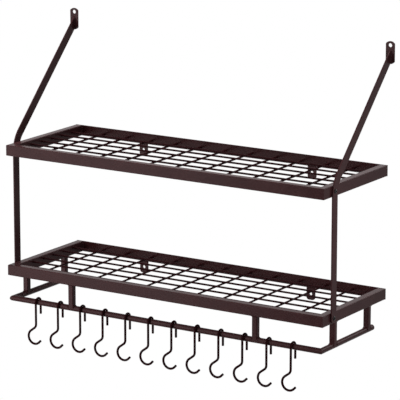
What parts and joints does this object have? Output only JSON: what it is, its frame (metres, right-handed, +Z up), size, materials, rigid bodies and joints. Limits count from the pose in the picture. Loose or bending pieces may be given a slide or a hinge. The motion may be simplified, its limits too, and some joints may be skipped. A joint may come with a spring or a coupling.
{
  "type": "wall-mounted pot rack",
  "caption": "Wall rack with wire-grid shelves on bent hanger bars, and a rail below with swinging wire hooks for pots and pans.",
  "frame": {"origin": "midway between the screw holes of the two wall plates, on the wall's surface", "axes": "+X along the wall to the right as seen from the room, +Y into the wall, +Z up"},
  "size_m": [0.7866, 0.2591, 0.6739],
  "materials": {
    "bronze_paint": "satin",
    "bronze_wire": "satin",
    "hook_wire": "satin",
    "black_steel": "satin",
    "zinc_steel": "zinc plated",
    "plug_plastic": "matte"
  },
  "bodies": {
    "rack": {"upper_front_rail": "bronze_paint", "upper_rear_strip": "bronze_paint", "upper_left_rail": "bronze_paint", "upper_left_wall_tab": "bronze_paint", "upper_right_rail": "bronze_paint", "upper_right_wall_tab": "bronze_paint", "upper_long_wires": "bronze_wire", "upper_cross_wires": "bronze_wire", "lower_front_rail": "bronze_paint", "lower_rear_strip": "bronze_paint", "lower_left_rail": "bronze_paint", "lower_left_wall_tab": "bronze_paint", "lower_right_rail": "bronze_paint", "lower_right_wall_tab": "bronze_paint", "lower_long_wires": "bronze_wire", "lower_cross_wires": "bronze_wire", "left_wall_plate": "bronze_paint", "left_hanger_bar": "bronze_paint", "right_wall_plate": "bronze_paint", "right_hanger_bar": "bronze_paint", "shelf_bolts": "black_steel", "threaded_inserts": "zinc_steel", "pot_rail_front_tube": "bronze_paint", "pot_rail_left_leg": "bronze_paint", "pot_rail_left_end_plug": "plug_plastic", "pot_rail_right_leg": "bronze_paint", "pot_rail_right_end_plug": "plug_plastic", "front_left_post": "bronze_paint", "front_right_post": "bronze_paint", "left_side_front_post": "bronze_paint", "left_side_rear_post": "bronze_paint", "right_side_front_post": "bronze_paint", "right_side_rear_post": "bronze_paint"},
    "hook_01_body": {"hook_01": "hook_wire"},
    "hook_02_body": {"hook_02": "hook_wire"},
    "hook_03_body": {"hook_03": "hook_wire"},
    "hook_04_body": {"hook_04": "hook_wire"},
    "hook_05_body": {"hook_05": "hook_wire"},
    "hook_06_body": {"hook_06": "hook_wire"},
    "hook_07_body": {"hook_07": "hook_wire"},
    "hook_08_body": {"hook_08": "hook_wire"},
    "hook_09_body": {"hook_09": "hook_wire"},
    "hook_10_body": {"hook_10": "hook_wire"},
    "hook_11_body": {"hook_11": "hook_wire"},
    "hook_12_body": {"hook_12": "hook_wire"}
  },
  "joints": [
    {"name": "hook_01_swing", "type": "hinge", "parent": "rack", "child": "hook_01_body", "pos_m": [-0.30965, -0.248, -0.57427], "axis": [1, 0, 0], "range_deg": [-75, 75]},
    {"name": "hook_02_swing", "type": "hinge", "parent": "rack", "child": "hook_02_body", "pos_m": [-0.25335, -0.248, -0.57427], "axis": [1, 0, 0], "range_deg": [-75, 75]},
    {"name": "hook_03_swing", "type": "hinge", "parent": "rack", "child": "hook_03_body", "pos_m": [-0.19705, -0.248, -0.57427], "axis": [1, 0, 0], "range_deg": [-75, 75]},
    {"name": "hook_04_swing", "type": "hinge", "parent": "rack", "child": "hook_04_body", "pos_m": [-0.14075, -0.248, -0.57427], "axis": [1, 0, 0], "range_deg": [-75, 75]},
    {"name": "hook_05_swing", "type": "hinge", "parent": "rack", "child": "hook_05_body", "pos_m": [-0.08445, -0.248, -0.57427], "axis": [1, 0, 0], "range_deg": [-75, 75]},
    {"name": "hook_06_swing", "type": "hinge", "parent": "rack", "child": "hook_06_body", "pos_m": [-0.02815, -0.248, -0.57427], "axis": [1, 0, 0], "range_deg": [-75, 75]},
    {"name": "hook_07_swing", "type": "hinge", "parent": "rack", "child": "hook_07_body", "pos_m": [0.02815, -0.248, -0.57427], "axis": [1, 0, 0], "range_deg": [-75, 75]},
    {"name": "hook_08_swing", "type": "hinge", "parent": "rack", "child": "hook_08_body", "pos_m": [0.08445, -0.248, -0.57427], "axis": [1, 0, 0], "range_deg": [-75, 75]},
    {"name": "hook_09_swing", "type": "hinge", "parent": "rack", "child": "hook_09_body", "pos_m": [0.14075, -0.248, -0.57427], "axis": [1, 0, 0], "range_deg": [-75, 75]},
    {"name": "hook_10_swing", "type": "hinge", "parent": "rack", "child": "hook_10_body", "pos_m": [0.19705, -0.248, -0.57427], "axis": [1, 0, 0], "range_deg": [-75, 75]},
    {"name": "hook_11_swing", "type": "hinge", "parent": "rack", "child": "hook_11_body", "pos_m": [0.25335, -0.248, -0.57427], "axis": [1, 0, 0], "range_deg": [-75, 75]},
    {"name": "hook_12_swing", "type": "hinge", "parent": "rack", "child": "hook_12_body", "pos_m": [0.30965, -0.248, -0.57427], "axis": [1, 0, 0], "range_deg": [-75, 75]}
  ]
}
